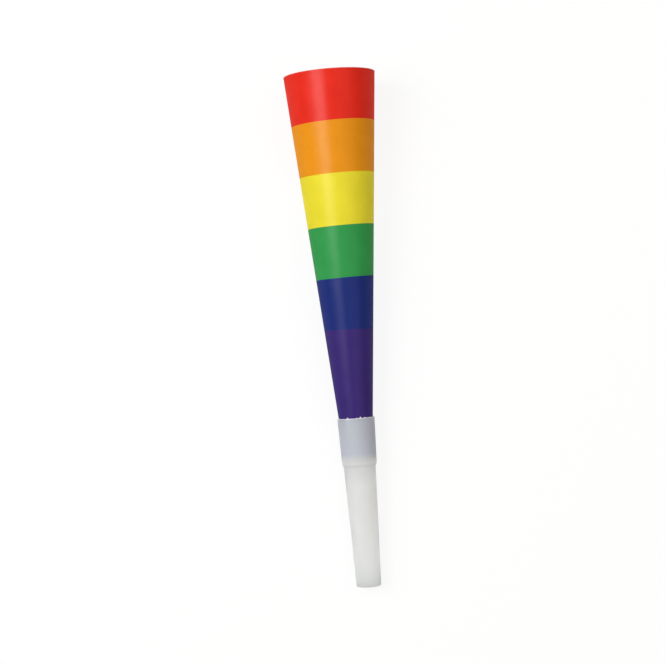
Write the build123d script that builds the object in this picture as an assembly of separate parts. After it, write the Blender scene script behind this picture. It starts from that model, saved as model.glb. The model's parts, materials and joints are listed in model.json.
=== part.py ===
from build123d import *
import math
import os

# A paper party horn: a rolled card cone, a moulded mouthpiece and a beating reed inside it.
# Millimetres. The horn is built along +Y, with its mouth end at y = 0, its bell rim at
# y = horn_length and +Z upwards, and is then laid on a flat surface.

# Whole horn
horn_length = 230.0
bell_diameter = 41.4

# Card cone
card_thickness = 0.3
lap_angle = 30.0             # overlap of the glued lap, seen along the axis
throat_diameter = 15.7       # outside of the card where it enters the collar

# Mouthpiece, outside
mouth_diameter = 11.0
tube_length = 53.8           # mouth end to the foot of the shoulder
shoulder_length = 1.0        # slope from the tube to the collar
shoulder_rise = 0.615        # of that slope
collar_length = 21.9         # foot of the shoulder to the lip
collar_draft = 1.5           # degrees
collar_lip_wall = 0.45
mouth_rounding = 0.4
lip_chamfer = 0.2

# Mouthpiece, inside
socket_depth = 18.3          # lip to the floor that the card stands on
glue_gap = 0.05              # between the card and its socket
pocket_wall = 1.1            # round the plug, at the shoulder
plug_seat = 0.5              # width of the step that the plug rests on
mouth_wall = 0.8
mouth_bore_length = 15.0

# Reed holder
plug_length = 8.0
plug_gap = 0.03              # pressed into its pocket
plug_lead = 0.12             # chamfer on its leading edge
trough_length = 23.4         # plug face to the tip of the nose
trough_radius = 3.5
trough_wall = 0.9
table_height = 0.5           # of the flat that the reed beats on, above the axis
outlet_bridge = 0.8          # between the reed's root and the outlet

# Reed and wedge
reed_thickness = 0.2
reed_rail = 0.55             # how far the reed overlaps the edge of the trough
reed_root = 4.0              # length held in the plug
reed_side_gap = 0.15
closed_gap = 0.05            # reed to table when it beats shut
pinch_gap = 0.05             # reed to wedge
root_gap = 0.1               # round the root, over its whole travel
tip_lift = 0.9               # at rest, above shut
tip_swing = 1.0              # further, at its widest
wedge_height = 1.6           # at its thin end
wedge_taper = 3.0            # degrees
wedge_gap = 0.03             # pressed into its slot

# Stations and radii that follow
collar_foot_y = tube_length + shoulder_length
lip_y = tube_length + collar_length
floor_y = lip_y - socket_depth
seat_y = floor_y - plug_length
card_slope = (bell_diameter - throat_diameter) / 2 / (horn_length - lip_y)
mouth_radius = mouth_diameter / 2
collar_lip_radius = throat_diameter / 2 + glue_gap + collar_lip_wall
collar_foot_radius = collar_lip_radius - (lip_y - collar_foot_y) * math.tan(math.radians(collar_draft))
tube_top_radius = collar_foot_radius - shoulder_rise
pocket_radius = tube_top_radius - pocket_wall
plug_radius = pocket_radius - plug_gap

# Reed unit sizes that follow
nose_y = seat_y - trough_length + trough_radius
channel_radius = trough_radius - trough_wall
channel_half_width = math.sqrt(channel_radius**2 - table_height**2)
reed_half_width = channel_half_width + reed_rail
reed_free_length = seat_y - nose_y + reed_half_width
hinge_z = table_height + closed_gap + reed_thickness / 2
rest_angle = math.asin(tip_lift / reed_free_length)
widest_angle = math.asin((tip_lift + tip_swing) / reed_free_length)
slot_end_y = seat_y + reed_root + root_gap
slot_half_width = reed_half_width + reed_side_gap
slot_floor_z = table_height + closed_gap - reed_root * math.sin(widest_angle) - root_gap
outlet_roof_z = slot_floor_z - outlet_bridge
wedge_foot_z = hinge_z + reed_thickness / 2 + pinch_gap
wedge_rise = reed_root * math.tan(math.radians(wedge_taper))


def card_radius(y):
    """Outside radius of the card at a station."""
    return throat_diameter / 2 + (y - lip_y) * card_slope


def station(y):
    """Plane square to the axis, with its own x across the horn and its own y upwards."""
    return Plane(origin=(0, y, 0), x_dir=(1, 0, 0), z_dir=(0, -1, 0))


def turned(points, rounded=(), chamfered=()):
    """Solid of revolution about the axis from (radius, station) points, with its corners eased."""
    face = make_face(Polyline(*points, close=True))
    for corner, size in rounded:
        face = fillet(face.vertices().sort_by_distance(corner)[:1], size)
    for corner, size in chamfered:
        face = chamfer(face.vertices().sort_by_distance(corner)[:1], size)
    return revolve(face, Axis.Y)


def nosed_rod(radius, end):
    """Round rod on the axis, from its round nose to a station."""
    outline = [
        CenterArc((0, nose_y), radius, -90, 90),
        Line((radius, nose_y), (radius, end)),
        Line((radius, end), (0, end)),
        Line((0, end), (0, nose_y - radius)),
    ]
    return revolve(make_face(outline), Axis.Y)


def cross_block(points, half_width):
    """Block across the horn from its (station, height) side outline."""
    side = Plane.YZ * make_face(Polyline(*points, close=True))
    return extrude(side, amount=half_width, both=True)


def roll_face(y, radius, edge_angle):
    """One turn of rolled card: two half circles that grow by a card thickness, and the cut edge."""
    edge = Vector(math.cos(math.radians(edge_angle)), math.sin(math.radians(edge_angle)))
    shift = edge * (card_thickness / 4)
    outline = [
        CenterArc(shift * -1, radius - 0.75 * card_thickness, edge_angle, 180),
        CenterArc(shift, radius - 0.25 * card_thickness, edge_angle + 180, 180),
        Line(edge * radius, edge * (radius - card_thickness)),
    ]
    return station(y) * make_face(outline)


def paper_cone():
    # The horn lies on the step of the lap: on its edge, and on the card beside it.
    edge_angle = -90 - math.degrees(math.acos(1 - 2 * card_thickness / bell_diameter))
    inner_edge_angle = edge_angle - lap_angle
    inner_shift = card_thickness * (1 + lap_angle / 360)
    outside = []
    inside = []
    for y in (floor_y, horn_length):
        outside.append(roll_face(y, card_radius(y), edge_angle))
        inside.append(roll_face(y, card_radius(y) - inner_shift, inner_edge_angle))
    return loft(outside, ruled=True) - loft(inside, ruled=True)


def mouthpiece():
    mouth_bore_radius = mouth_radius - mouth_wall
    mouth_corner = (mouth_radius, 0)
    lip_corner = (collar_lip_radius, lip_y)
    outline = [
        (mouth_bore_radius, 0),
        mouth_corner,
        (tube_top_radius, tube_length),
        (collar_foot_radius, collar_foot_y),
        lip_corner,
        (card_radius(lip_y) + glue_gap, lip_y),
        (card_radius(floor_y) + glue_gap, floor_y),
        (pocket_radius, floor_y),
        (pocket_radius, seat_y),
        (pocket_radius - plug_seat, seat_y),
        (mouth_bore_radius, mouth_bore_length),
    ]
    return turned(outline, [(mouth_corner, mouth_rounding)], [(lip_corner, lip_chamfer)])


def reed_holder():
    leading_edge = (plug_radius, seat_y)
    outline = [(0, seat_y), leading_edge, (plug_radius, floor_y), (0, floor_y)]
    plug = turned(outline, chamfered=[(leading_edge, plug_lead)])
    table = Plane.XY.offset(table_height)
    trough = split(nosed_rod(trough_radius, seat_y + reed_root), table, keep=Keep.BOTTOM)
    outlet = split(nosed_rod(channel_radius, floor_y), Plane.XY.offset(outlet_roof_z), keep=Keep.BOTTOM)
    slot = cross_block([
        (seat_y, slot_floor_z),
        (slot_end_y, slot_floor_z),
        (slot_end_y, wedge_foot_z + wedge_height + wedge_gap),
        (seat_y, wedge_foot_z + wedge_height + wedge_rise + wedge_gap),
    ], slot_half_width)
    return plug + trough - nosed_rod(channel_radius, seat_y) - outlet - slot


def reed_tongue():
    outline = [
        CenterArc((0, nose_y), reed_half_width, 180, 180),
        Line((reed_half_width, nose_y), (reed_half_width, seat_y + reed_root)),
        Line((reed_half_width, seat_y + reed_root), (-reed_half_width, seat_y + reed_root)),
        Line((-reed_half_width, seat_y + reed_root), (-reed_half_width, nose_y)),
    ]
    shut = Plane.XY.offset(table_height + closed_gap) * make_face(outline)
    hinge = Axis((0, seat_y, hinge_z), (-1, 0, 0))
    return extrude(shut, amount=reed_thickness).rotate(hinge, math.degrees(rest_angle))


def reed_wedge():
    return cross_block([
        (seat_y, wedge_foot_z),
        (seat_y + reed_root, wedge_foot_z),
        (seat_y + reed_root, wedge_foot_z + wedge_height),
        (seat_y, wedge_foot_z + wedge_height + wedge_rise),
    ], slot_half_width - wedge_gap)


def laid_down(pieces):
    """Tip the horn until bell and mouth both touch the surface, and centre it over the origin."""
    rest_radius = bell_diameter / 2 - card_thickness
    tip = math.degrees(math.atan((rest_radius - mouth_radius) / horn_length))
    tipped = {name: Rot(X=tip) * piece for name, piece in pieces.items()}
    box = Compound(list(tipped.values())).bounding_box(optimal=True)
    seat = Pos(0, -(box.min.Y + box.max.Y) / 2, -box.min.Z)
    return {name: seat * piece for name, piece in tipped.items()}


os.makedirs("parts", exist_ok=True)
horn = laid_down({
    "paper_cone": paper_cone(),
    "mouthpiece": mouthpiece(),
    "reed_holder": reed_holder(),
    "reed_tongue": reed_tongue(),
    "reed_wedge": reed_wedge(),
})
for name, piece in horn.items():
    export_step(piece, f"parts/{name}.step")
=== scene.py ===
import json
import math

import bmesh
import bpy
from mathutils import Matrix, Vector


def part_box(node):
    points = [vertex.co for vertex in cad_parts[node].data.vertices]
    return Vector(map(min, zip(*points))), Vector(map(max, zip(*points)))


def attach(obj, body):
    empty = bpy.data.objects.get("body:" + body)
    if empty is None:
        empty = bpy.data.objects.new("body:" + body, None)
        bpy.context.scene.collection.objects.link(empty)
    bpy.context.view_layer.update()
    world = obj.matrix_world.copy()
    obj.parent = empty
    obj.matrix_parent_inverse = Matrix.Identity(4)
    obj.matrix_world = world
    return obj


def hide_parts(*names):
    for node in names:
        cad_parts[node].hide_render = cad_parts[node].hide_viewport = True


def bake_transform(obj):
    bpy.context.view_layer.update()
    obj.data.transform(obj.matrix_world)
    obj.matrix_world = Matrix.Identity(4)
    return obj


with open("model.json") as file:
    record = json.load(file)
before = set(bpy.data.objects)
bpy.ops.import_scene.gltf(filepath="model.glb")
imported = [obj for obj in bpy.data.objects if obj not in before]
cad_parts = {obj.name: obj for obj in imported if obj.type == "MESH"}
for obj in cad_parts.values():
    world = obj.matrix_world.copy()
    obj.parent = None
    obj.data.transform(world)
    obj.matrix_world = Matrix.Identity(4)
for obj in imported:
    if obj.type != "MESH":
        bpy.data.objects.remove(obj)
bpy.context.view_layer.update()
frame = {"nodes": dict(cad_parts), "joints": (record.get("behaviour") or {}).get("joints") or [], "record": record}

# A paper party horn: a rolled card cone printed in rainbow bands, a milky plastic mouthpiece
# and the reed unit inside it. Metres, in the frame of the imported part. A station is a distance
# along the horn from its mouth end. In the horn's own frame +Y runs to the bell and +Z is up.

mm = 0.001
nodes = frame["nodes"]


def named(entries, name):
    """Entry of a list in the record that has this name."""
    return next(entry for entry in entries if entry["name"] == name)


# The horn's own frame, from the bore at its mouth end
mouth_bore = named(frame["record"]["mounts"], "mouth_bore")
to_mouth = Vector(mouth_bore["axis"])
to_bell = -to_mouth
across = Vector((1, 0, 0))
upwards = across.cross(to_bell)
bore_length = mouth_bore["dims"]["length_mm"] * mm
bore_radius = mouth_bore["dims"]["r_mm"] * mm
mouth_centre = Vector(mouth_bore["pos_m"]) + to_mouth * bore_length / 2
horn_place = Matrix((across, to_bell, upwards)).transposed().to_4x4()
horn_place.translation = mouth_centre
into_horn = horn_place.inverted()

same_station = 0.02 * mm          # corners this close lie at one station


def in_horn(node):
    """Corners of a CAD piece in the horn's own frame."""
    return [into_horn @ v.co for v in nodes[node].data.vertices]


def stations(node):
    """First and last station of a CAD piece."""
    reach = [p.y for p in in_horn(node)]
    return min(reach), max(reach)


def radius_at(node, station):
    """Largest radius of a CAD piece at a station where it has an edge."""
    return max(math.hypot(p.x, p.z) for p in in_horn(node) if abs(p.y - station) < same_station)


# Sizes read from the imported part
reed_beat = named(frame["joints"], "reed_beat")
card_end, horn_length = stations("paper_cone")
card_end_radius = radius_at("paper_cone", card_end)
bell_radius = radius_at("paper_cone", horn_length)
cone_length = horn_length - card_end
card_slope = (bell_radius - card_end_radius) / cone_length
lip = stations("mouthpiece")[1]
plug_face = into_horn @ Vector(reed_beat["pos_m"])
strip_tip, strip_root = stations("reed_tongue")
strip_half_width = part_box("reed_tongue")[1].x
strip_rest_angle = -math.radians(reed_beat["range_deg"][0])

# Card
card_thickness = 0.3 * mm
glue_film = 0.02 * mm
lap_angle = math.radians(30)
lap_edge_angle = math.radians(-90) - math.acos(1 - card_thickness / bell_radius)
red_band = 22.2 * mm              # from the rim
band_width = 23.05 * mm           # of each other band
print_skew = (-0.055, 0.014)      # slope of the band edges across the horn, near collar and bell
skew_start = 105 * mm             # stations between which that slope changes
skew_end = 135 * mm
lap_mismatch = 0.3 * mm           # of the print, from edge to edge of the sheet
worn_rim = 0.35 * mm

# Mouthpiece
shoulder = 53.8 * mm
collar_foot = 54.8 * mm
mouth_wall = 0.8 * mm
mouth_radius = bore_radius + mouth_wall
tube_top_radius = radius_at("mouthpiece", shoulder)
collar_foot_radius = radius_at("mouthpiece", collar_foot)
pocket_wall = 1.1 * mm
pocket_radius = tube_top_radius - pocket_wall
seat_width = 0.5 * mm
glue_gap = 0.05 * mm
socket_lip_radius = card_end_radius + (lip - card_end) * card_slope + glue_gap
lip_wall = 0.45 * mm
cool_length = 30 * mm             # of the cooler tone at its mouth end
tube_spread = 40 * mm             # of light in its milky wall
collar_spread = 7 * mm
let_through = 0.2                 # share of the light that passes its outer face
bore_clear = 0.85                 # share of its inner face that is clear
socket_clear = 0.45

# Reed strip
strip_thickness = 0.2 * mm
strip_bend_length = 9 * mm        # from the plug's face, where it flexes most


def linear(red, green, blue):
    """Colour for a shader socket from the numbers of a screen colour."""
    def channel(value):
        share = value / 255
        return share / 12.92 if share <= 0.04045 else ((share + 0.055) / 1.055) ** 2.4
    return (channel(red), channel(green), channel(blue), 1.0)


def smooth_step(share):
    """Eased share, from 0 to 1."""
    share = min(max(share, 0.0), 1.0)
    return share * share * (3 - 2 * share)


class Shader:
    """Nodes of one material."""

    def __init__(self, name):
        self.material = bpy.data.materials.new(name)
        self.material.use_nodes = True
        self.tree = self.material.node_tree
        self.surface = self.tree.nodes["Principled BSDF"]

    def feed(self, socket, value):
        """Link or set one input."""
        if isinstance(value, bpy.types.NodeSocket):
            self.tree.links.new(value, socket)
        else:
            socket.default_value = value

    def fill(self, node, inputs):
        """Feed inputs that are named by their sockets, with _ for a space."""
        for key, value in inputs.items():
            self.feed(node.inputs[key.replace("_", " ")], value)

    def node(self, kind, settings=None, **inputs):
        """New node with its settings and inputs."""
        made = self.tree.nodes.new("ShaderNode" + kind)
        for key, value in (settings or {}).items():
            setattr(made, key, value)
        self.fill(made, inputs)
        return made

    def dressed(self, **inputs):
        """The material, with inputs of its main surface."""
        self.fill(self.surface, inputs)
        return self.material

    def blended(self, share, first, second):
        """The material, with a share of its first shader giving way to the second."""
        both = self.node("MixShader")
        self.feed(both.inputs[0], share)
        self.feed(both.inputs[1], first.outputs[0])
        self.feed(both.inputs[2], second.outputs[0])
        self.feed(self.tree.nodes["Material Output"].inputs["Surface"], both.outputs[0])
        return self.material

    def maths(self, operation, first, second=0.0):
        """Result of an operation on one or two values."""
        made = self.node("Math", {"operation": operation})
        self.feed(made.inputs[0], first)
        self.feed(made.inputs[1], second)
        return made.outputs[0]

    def mixed(self, share, first, second, how="MIX"):
        """First colour with a share of the second laid over it."""
        made = self.node("Mix", {"data_type": "RGBA", "blend_type": how}, Factor=share, A=first, B=second)
        return made.outputs["Result"]

    def ranged(self, value, low, high, to_low=0.0, to_high=1.0):
        """Value carried from one range to another, and held at its ends."""
        made = self.node("MapRange", Value=value, From_Min=low, From_Max=high,
                         To_Min=to_low, To_Max=to_high)
        return made.outputs["Result"]

    def varied(self, noise, low=0.0, high=1.0):
        """Soft noise, which lies mostly between 0.3 and 0.7, stretched over a range."""
        return self.ranged(noise, 0.3, 0.7, low, high)

    def horn_position(self):
        """Place on the horn, in the horn's own frame and in millimetres."""
        place = self.node("TexCoord").outputs["Object"]
        per_mm = 1 / mm
        made = self.node("Mapping", Vector=place, Location=into_horn.translation / mm,
                         Rotation=into_horn.to_euler(), Scale=(per_mm, per_mm, per_mm))
        return made.outputs["Vector"]

    def station(self, place):
        """Station of a place on the horn, in millimetres."""
        return self.node("SeparateXYZ", Vector=place).outputs["Y"]

    def noise(self, place, size, detail, roughness=0.55):
        """Soft noise whose patches are about size millimetres across."""
        made = self.node("TexNoise", Vector=place, Scale=1 / size, Detail=detail, Roughness=roughness)
        return made.outputs["Fac"]

    def bumped(self, height, depth, strength):
        """Surface relief of the given depth."""
        made = self.node("Bump", Height=height, Distance=depth, Strength=strength)
        return made.outputs["Normal"]


# Printed bands
violet = linear(60, 43, 115)
blue = linear(33, 48, 119)
green = linear(53, 153, 78)
yellow = linear(235, 220, 52)
orange = linear(233, 147, 25)
red = linear(230, 46, 31)
white_core = linear(238, 236, 232)


def band_ink(card, place):
    """Colour of the print at a place on the horn. The sheet is printed a little askew."""
    spot = card.node("SeparateXYZ", Vector=place)
    sheet = card.node("UVMap", {"uv_map": "flat sheet"}).outputs["UV"]
    turned = card.node("SeparateXYZ", Vector=sheet).outputs["X"]
    skew = card.ranged(spot.outputs["Y"], skew_start / mm, skew_end / mm, *print_skew)
    askew = card.maths("MULTIPLY", spot.outputs["X"], skew)
    askew = card.maths("SUBTRACT", askew, card.maths("MULTIPLY", turned, lap_mismatch / mm))
    from_rim = card.maths("SUBTRACT", horn_length / mm, spot.outputs["Y"])
    from_rim = card.maths("ADD", from_rim, askew)
    ink = red
    for count, colour in enumerate([orange, yellow, green, blue, violet]):
        start = (red_band + count * band_width) / mm
        ink = card.mixed(card.maths("GREATER_THAN", from_rim, start), ink, colour)
    return ink


def printed_card():
    """Inked card under a thin satin varnish, worn to its white core along the rim."""
    card = Shader("printed card")
    place = card.horn_position()
    fibre = card.noise(place, size=0.25, detail=4.0)
    cloud = card.noise(place, size=9.0, detail=2.0)
    density = card.varied(cloud, 0.96, 1.03)
    ink = card.mixed(1.0, band_ink(card, place), density, "MULTIPLY")
    near_rim = card.ranged(card.station(place), (horn_length - worn_rim) / mm, horn_length / mm, 0.0, 0.7)
    worn = card.maths("MULTIPLY", near_rim, card.ranged(fibre, 0.45, 0.6))
    ink = card.mixed(worn, ink, white_core)
    relief = card.bumped(fibre, depth=0.008 * mm, strength=0.5)
    varnish = card.varied(cloud, 0.13, 0.16)
    card.dressed(Coat_Weight=varnish, Coat_Roughness=0.3, Coat_IOR=1.5, Coat_Normal=relief)
    return card.dressed(Base_Color=ink, Roughness=0.6, Specular_IOR_Level=0.0, Normal=relief)


def bare_card(name, colour, show_through=0.0):
    """Unprinted card. The print on its other side shows through a little."""
    card = Shader(name)
    place = card.horn_position()
    fibre = card.noise(place, size=0.4, detail=5.0, roughness=0.65)
    cloud = card.noise(place, size=6.0, detail=2.0)
    shade = card.mixed(card.varied(cloud), colour, white_core)
    tint = card.mixed(card.ranged(fibre, 0.35, 0.7, 0.0, 0.25), shade, linear(206, 203, 197))
    tint = card.mixed(show_through, tint, band_ink(card, place))
    relief = card.bumped(fibre, depth=0.03 * mm, strength=0.7)
    return card.dressed(Base_Color=tint, Roughness=0.85, Normal=relief)


def milky_plastic(name):
    """Soft plastic. Its tone carries painted shade where the reed plug, the thick shoulder wall and the dark card
    stand behind the wall, with the card's bluish colour seen through in patches, a painted dark line and light
    ring at the shoulder, and a painted highlight along the lip's edge.
    """
    plastic = Shader(name)
    place = plastic.horn_position()
    station = plastic.station(place)
    cloud = plastic.noise(place, size=7.0, detail=2.0)
    card_contact_noise = plastic.noise(place, size=5.0, detail=2.0)
    grain = plastic.noise(place, size=0.3, detail=3.0)
    tone = plastic.mixed(plastic.varied(cloud), linear(225, 226, 226), linear(227, 227, 226))
    near_mouth = plastic.ranged(station, 0.0, cool_length / mm, 0.8, 0.0)
    tone = plastic.mixed(near_mouth, tone, linear(226, 229, 229))
    # Painted shade of the dark violet card behind the collar wall, bluish where it shows through, in patches where
    # the card presses on the wall.
    card_contact_patches = plastic.ranged(card_contact_noise, 0.35, 0.65)
    painted_card_shade = plastic.mixed(card_contact_patches, linear(198, 206, 214), linear(203, 205, 217))
    # Painted shade where the reed plug, the thick wall at the shoulder and the dark card stand behind the wall,
    # and a painted highlight along the lip's edge.
    painted_shade_and_highlight_stretches = [    # stations where one starts to show and where it is full, and its tone
        # painted shade over the reed plug inside the tube
        (plug_face.y - 4.0 * mm, plug_face.y + 3.0 * mm, linear(217, 219, 219)),
        # painted shade where the wall thickens at the shoulder
        (shoulder - 0.2 * mm, shoulder + 0.6 * mm, linear(219, 220, 221)),
        # painted shade of the card behind the collar
        (card_end - 0.7 * mm, card_end + 2.4 * mm, painted_card_shade),
        # painted highlight along the lip's edge
        (lip - 0.35 * mm, lip - 0.1 * mm, linear(252, 252, 253)),
    ]
    for start, full, colour in painted_shade_and_highlight_stretches:
        tone = plastic.mixed(plastic.ranged(station, start / mm, full / mm), tone, colour)
    # Painted shade: a dark line at the shoulder's step. Painted highlight: a light ring on the rounded corner
    # above it.
    painted_shoulder_shade_and_highlight = [    # station, half width and tone of the dark line and of the light ring
        (shoulder + 0.3 * mm, 0.7 * mm, linear(206, 210, 209)),
        (shoulder + 1.7 * mm, 0.8 * mm, linear(227, 228, 229)),
    ]
    for middle, half_width, colour in painted_shoulder_shade_and_highlight:
        from_line = plastic.maths("ABSOLUTE", plastic.maths("SUBTRACT", station, middle / mm))
        tone = plastic.mixed(plastic.ranged(from_line, 0.0, half_width / mm, 0.8, 0.0), tone, colour)
    shine = plastic.varied(grain, 0.42, 0.5)
    relief = plastic.bumped(grain, depth=0.01 * mm, strength=0.4)
    plastic.dressed(Base_Color=tone, Roughness=shine, Normal=relief, IOR=1.5, Specular_IOR_Level=0.3)
    plastic.tone = tone
    return plastic


def milky_outside():
    """The outer face spreads light along the wall and lets some of it through."""
    plastic = milky_plastic("milky plastic")
    station = plastic.station(plastic.horn_position())
    fade_start = card_end / mm - 1.0
    fade_end = card_end / mm + 1.5
    spread = plastic.ranged(station, fade_start, fade_end, tube_spread, collar_spread)
    plastic.surface.subsurface_method = "BURLEY"
    plastic.dressed(Subsurface_Weight=1.0, Subsurface_Radius=(1.0, 1.0, 1.0), Subsurface_Scale=spread)
    thin = plastic.node("BsdfTranslucent", Color=plastic.tone)
    return plastic.blended(let_through, plastic.surface, thin)


def milky_inside(name, clear_share):
    """The inner face is clearer."""
    plastic = milky_plastic(name)
    return plastic.blended(clear_share, plastic.surface, plastic.node("BsdfTransparent"))


def lip_edge():
    """The thin edge of the lip, and the flash on it, let no light through."""
    return milky_plastic("milky plastic lip").material


def hard_plastic():
    """White moulding of the reed holder and its wedge."""
    plastic = Shader("reed holder plastic")
    place = plastic.horn_position()
    cloud = plastic.noise(place, size=2.5, detail=2.0)
    grain = plastic.noise(place, size=0.12, detail=3.0)
    tone = plastic.mixed(plastic.varied(cloud), linear(246, 248, 245), linear(249, 250, 247))
    shine = plastic.varied(grain, 0.22, 0.34)
    relief = plastic.bumped(grain, depth=0.004 * mm, strength=0.4)
    return plastic.dressed(Base_Color=tone, Roughness=shine, Normal=relief)


def reed_film():
    """Pale film with the fine streaks of its drawing along its length."""
    film = Shader("reed film")
    place = film.horn_position()
    drawn = film.node("Mapping", Vector=place, Scale=(6.0, 0.4, 6.0)).outputs["Vector"]
    streak = film.noise(drawn, size=1.0, detail=3.0)
    tone = film.mixed(film.varied(streak), linear(230, 236, 238), linear(238, 242, 243))
    shine = film.varied(streak, 0.16, 0.26)
    relief = film.bumped(streak, depth=0.003 * mm, strength=0.4)
    return film.dressed(Base_Color=tone, Roughness=shine, Normal=relief)


# Meshes
sharp_angle = math.radians(35)
weld = 0.0005 * mm


def finished(shape, name, materials):
    """New object from a bmesh in the horn's own frame, put in its place in the part."""
    shape.transform(horn_place)
    for face in shape.faces:
        face.smooth = True
    mesh = bpy.data.meshes.new(name)
    shape.to_mesh(mesh)
    shape.free()
    mesh.set_sharp_from_angle(angle=sharp_angle)
    for material in materials:
        mesh.materials.append(material)
    piece = bpy.data.objects.new(name, mesh)
    bpy.context.scene.collection.objects.link(piece)
    return piece


def facing_out(face):
    """How squarely a face looks away from the horn's axis, from -1 inwards to 1 outwards."""
    middle = face.calc_center_median()
    return face.normal.dot(Vector((middle.x, 0, middle.z)).normalized())


# Card cone
turn_steps = 195
cone_steps = 48


def rolled_card():
    """The flat sheet, rolled from its inner edge round to the outer edge of the lap."""
    sheet = bmesh.new()
    sheet.loops.layers.uv.new("flat sheet")
    bmesh.ops.create_grid(sheet, x_segments=turn_steps, y_segments=cone_steps, size=0.5, calc_uvs=True)
    whole_turn = math.tau + lap_angle
    for corner in sheet.verts:
        turned = (corner.co.x + 0.5) * whole_turn
        station = card_end + (corner.co.y + 0.5) * cone_length
        outer_radius = card_end_radius + (station - card_end) * card_slope
        radius = outer_radius - (card_thickness + glue_film) * (whole_turn - turned) / math.tau
        angle = lap_edge_angle - lap_angle + turned
        corner.co = (radius * math.cos(angle), station, radius * math.sin(angle))
    bmesh.ops.reverse_faces(sheet, faces=sheet.faces[:])
    bmesh.ops.solidify(sheet, geom=sheet.faces[:], thickness=card_thickness)
    printed_side, bare_side, cut_edge = range(3)
    for face in sheet.faces:
        facing = facing_out(face)
        face.material_index = printed_side if facing > 0.5 else bare_side if facing < -0.5 else cut_edge
    materials = [
        printed_card(),
        bare_card("bare card inside", linear(236, 234, 230), show_through=0.07),
        bare_card("cut card edge", linear(234, 231, 225)),
    ]
    return finished(sheet, "printed_card_cone", materials)


# Mouthpiece
spin_steps = 240
lip_edge_depth = 0.2 * mm         # of the lip's white edge
flash_depth = 0.06 * mm           # of the inner edge of the lip that the flash grows from
flash_width = 0.13 * mm
lip_flash = [    # degrees from the top, height, half width in degrees
    (-128, 0.4 * mm, 4.0), (-71, 0.25 * mm, 5.0), (-28, 0.62 * mm, 3.3), (2, 0.22 * mm, 4.0),
    (13.5, 0.72 * mm, 3.3), (29, 0.25 * mm, 4.5), (77, 0.25 * mm, 4.0), (141, 0.45 * mm, 4.5),
]


def flash_height(angle):
    """Height of the flash along the inner edge of the lip, at an angle in degrees from the top."""
    return max(height * smooth_step(1 - abs(angle - place) / half_width)
               for place, height, half_width in lip_flash)


def raise_flash(shell):
    """Draw the inner edge of the lip out along the card."""
    for corner in shell.verts:
        radius = math.hypot(corner.co.x, corner.co.z)
        if corner.co.y > lip - flash_depth and radius < socket_lip_radius + flash_width:
            height = flash_height(math.degrees(math.atan2(corner.co.x, corner.co.z)))
            corner.co.y += height
            corner.co.x *= 1 + height * card_slope / radius
            corner.co.z *= 1 + height * card_slope / radius


def milky_mouthpiece():
    """Moulded tube, shoulder and collar as corners of (radius, station), each with its rounding."""
    seat = plug_face.y
    outline = [
        (bore_radius, 0.0, 0.25 * mm),
        (mouth_radius, 0.0, 0.45 * mm),
        (tube_top_radius, shoulder, 0.5 * mm),
        (collar_foot_radius, collar_foot, 0.5 * mm),
        (socket_lip_radius + lip_wall, lip, 0.22 * mm),
        (socket_lip_radius, lip, 0.12 * mm),
        (card_end_radius + glue_gap, card_end, 0.0),
        (pocket_radius, card_end, 0.0),
        (pocket_radius, seat, 0.0),
        (pocket_radius - seat_width, seat, 0.1 * mm),
        (bore_radius, bore_length, 0.6 * mm),
    ]
    shell = bmesh.new()
    corners = [shell.verts.new((radius, station, 0)) for radius, station, rounding in outline]
    for first, second in zip(corners, corners[1:] + corners[:1]):
        shell.edges.new((first, second))
    for corner, (radius, station, rounding) in zip(corners, outline):
        if rounding:
            bmesh.ops.bevel(shell, geom=[corner], offset=rounding, offset_type="OFFSET",
                            affect="VERTICES", segments=5, profile=0.5, material=-1)
    bmesh.ops.spin(shell, geom=shell.verts[:] + shell.edges[:], cent=(0, 0, 0), axis=(0, 1, 0),
                   angle=math.tau, steps=spin_steps, use_merge=True)
    bmesh.ops.remove_doubles(shell, verts=shell.verts[:], dist=weld)
    bmesh.ops.recalc_face_normals(shell, faces=shell.faces[:])
    raise_flash(shell)
    outer_side, bore_side, socket_side, lip_side = range(4)
    for face in shell.faces:
        station = face.calc_center_median().y
        face.material_index = outer_side
        if facing_out(face) < -0.5:
            face.material_index = socket_side if station > card_end else bore_side
        elif station > lip - lip_edge_depth:
            face.material_index = lip_side
    materials = [
        milky_outside(),
        milky_inside("milky plastic bore", bore_clear),
        milky_inside("milky plastic socket", socket_clear),
        lip_edge(),
    ]
    return finished(shell, "milky_mouthpiece", materials)


# Reed strip
strip_steps = 44
strip_width_steps = 14


def bent_strip():
    """Flat film with a round tip, flexed up from where the wedge pins it."""
    film = bmesh.new()
    bmesh.ops.create_grid(film, x_segments=strip_width_steps, y_segments=strip_steps, size=0.5)
    tip = plug_face.y - (plug_face.y - strip_tip) / math.cos(strip_rest_angle)
    for corner in film.verts:
        station = tip + (corner.co.y + 0.5) * (strip_root - tip)
        into_tip = max(tip + strip_half_width - station, 0.0)
        half_width = math.sqrt(max(strip_half_width ** 2 - into_tip ** 2, 0.0))
        corner.co = (2 * corner.co.x * half_width, station, plug_face.z - strip_thickness / 2)
    bmesh.ops.remove_doubles(film, verts=film.verts[:], dist=weld)
    bmesh.ops.recalc_face_normals(film, faces=film.faces[:])
    bmesh.ops.solidify(film, geom=film.faces[:], thickness=strip_thickness)
    for corner in film.verts:
        free = plug_face.y - corner.co.y
        angle = strip_rest_angle * smooth_step(free / strip_bend_length)
        height = corner.co.z - plug_face.z
        corner.co.y = plug_face.y - free * math.cos(angle) + height * math.sin(angle)
        corner.co.z = plug_face.z + free * math.sin(angle) + height * math.cos(angle)
    return finished(film, "reed_strip", [reed_film()])


# Pieces on their bodies
cone = rolled_card()
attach(cone, "horn")
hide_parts("paper_cone")

mouthpiece = milky_mouthpiece()
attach(mouthpiece, "horn")
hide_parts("mouthpiece")

strip = bent_strip()
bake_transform(strip)
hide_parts("reed_tongue")

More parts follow.
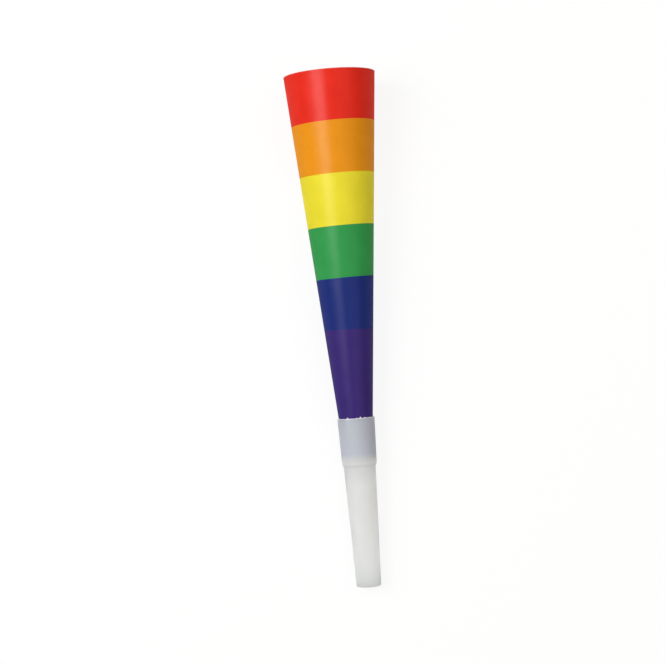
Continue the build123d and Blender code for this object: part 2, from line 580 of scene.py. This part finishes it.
holder_plastic = hard_plastic()
for node in ("reed_holder", "reed_wedge"):
    nodes[node].data.materials.clear()
    nodes[node].data.materials.append(holder_plastic)

# Floor
floor_size = 8.0
floor_grey = (0.82, 0.82, 0.82, 1.0)
pure_white = (1.0, 1.0, 1.0, 1.0)
floor_glow = 1.04                 # of its plain white, where the camera sees it
shadow_white = 0.85               # share of that white near the horn, which leaves room for its shadow
shadow_near = 0.35                # distances from the horn over which the share rises to 1
shadow_far = 0.9


def white_floor():
    """Pale floor that looks white to the camera and keeps the horn's shadow."""
    plane = bmesh.new()
    bmesh.ops.create_grid(plane, x_segments=1, y_segments=1, size=floor_size / 2)
    mesh = bpy.data.meshes.new("floor")
    plane.to_mesh(mesh)
    plane.free()
    floor = bpy.data.objects.new("floor", mesh)
    bpy.context.scene.collection.objects.link(floor)
    paint = Shader("white floor")
    matte = paint.node("BsdfDiffuse", Color=floor_grey)
    glow = paint.node("Emission", Color=pure_white, Strength=floor_glow)
    path = paint.node("LightPath")
    seen = paint.maths("MAXIMUM", path.outputs["Is Camera Ray"], path.outputs["Is Glossy Ray"])
    seen = paint.maths("MAXIMUM", seen, path.outputs["Is Transmission Ray"])
    place = paint.node("TexCoord").outputs["Object"]
    from_horn = paint.node("VectorMath", {"operation": "LENGTH"}, Vector=place).outputs["Value"]
    share = paint.ranged(from_horn, shadow_near, shadow_far, shadow_white, 1.0)
    mesh.materials.append(paint.blended(paint.maths("MULTIPLY", seen, share), matte, glow))


# Light
def softbox(name, from_vertical, along, width, length, radiance, colour=(1, 1, 1), highlight_only=False):
    """Rectangular lamp a metre from the horn, with its long side along the horn."""
    lamp = bpy.data.lights.new(name, "AREA")
    lamp.shape = "RECTANGLE"
    lamp.size = width
    lamp.size_y = length
    lamp.energy = radiance * math.pi * width * length
    lamp.color = colour
    holder = bpy.data.objects.new(name, lamp)
    bpy.context.scene.collection.objects.link(holder)
    turn = math.radians(from_vertical)
    holder.location = (math.sin(turn), along, math.cos(turn))
    holder.rotation_euler = (0, turn, 0)
    holder.visible_diffuse = not highlight_only


def surroundings(strength):
    """White world that is plain white to the camera and lights the horn at the given strength."""
    world = bpy.data.worlds.new("studio")
    bpy.context.scene.world = world
    world.use_nodes = True
    tree = world.node_tree
    path = tree.nodes.new("ShaderNodeLightPath")
    level = tree.nodes.new("ShaderNodeMapRange")
    level.inputs["To Min"].default_value = strength
    level.inputs["To Max"].default_value = 1.0
    tree.links.new(path.outputs["Is Camera Ray"], level.inputs["Value"])
    background = tree.nodes["Background"]
    background.inputs["Color"].default_value = pure_white
    tree.links.new(level.outputs["Result"], background.inputs["Strength"])


# Camera
picture_width = 665                      # pixels
focal_length = 1719.0                    # pixels
rim_pixel = Vector((329.13, 74.90))      # where the middle of the bell's rim lies
rim_distance = 0.7718
lean = math.radians(4.472)               # of the horn in the picture, bell to the left
sensor = 36.0


def photo_camera():
    """Looks down square to the horn's axis."""
    lens = bpy.data.cameras.new("camera")
    lens.sensor_width = sensor
    lens.lens = focal_length / picture_width * sensor
    camera = bpy.data.objects.new("camera", lens)
    bpy.context.scene.collection.objects.link(camera)
    right = across * math.cos(lean) - to_bell * math.sin(lean)
    up = across * math.sin(lean) + to_bell * math.cos(lean)
    per_pixel = rim_distance / focal_length
    beside = (rim_pixel.x - picture_width / 2) * per_pixel
    above = (picture_width / 2 - rim_pixel.y) * per_pixel
    rim_centre = horn_place @ Vector((0, horn_length, 0))
    place = Matrix((right, up, upwards)).transposed().to_4x4()
    place.translation = rim_centre + upwards * rim_distance - right * beside - up * above
    camera.matrix_world = place
    bpy.context.scene.camera = camera


white_floor()
softbox("key_softbox", from_vertical=-30, along=0.145, width=0.42, length=0.56, radiance=8.0)
softbox("key_hot_middle", from_vertical=-31, along=0.145, width=0.56, length=0.56, radiance=8.5,
        highlight_only=True)
softbox("side_softbox", from_vertical=-53, along=0.12, width=0.4, length=0.6, radiance=2.4)
softbox("fill_softbox", from_vertical=30, along=0.05, width=0.9, length=1.6, radiance=1.15,
        colour=(1.0, 0.95, 0.88))
surroundings(strength=0.12)
photo_camera()
bpy.context.scene.view_settings.view_transform = "Standard"
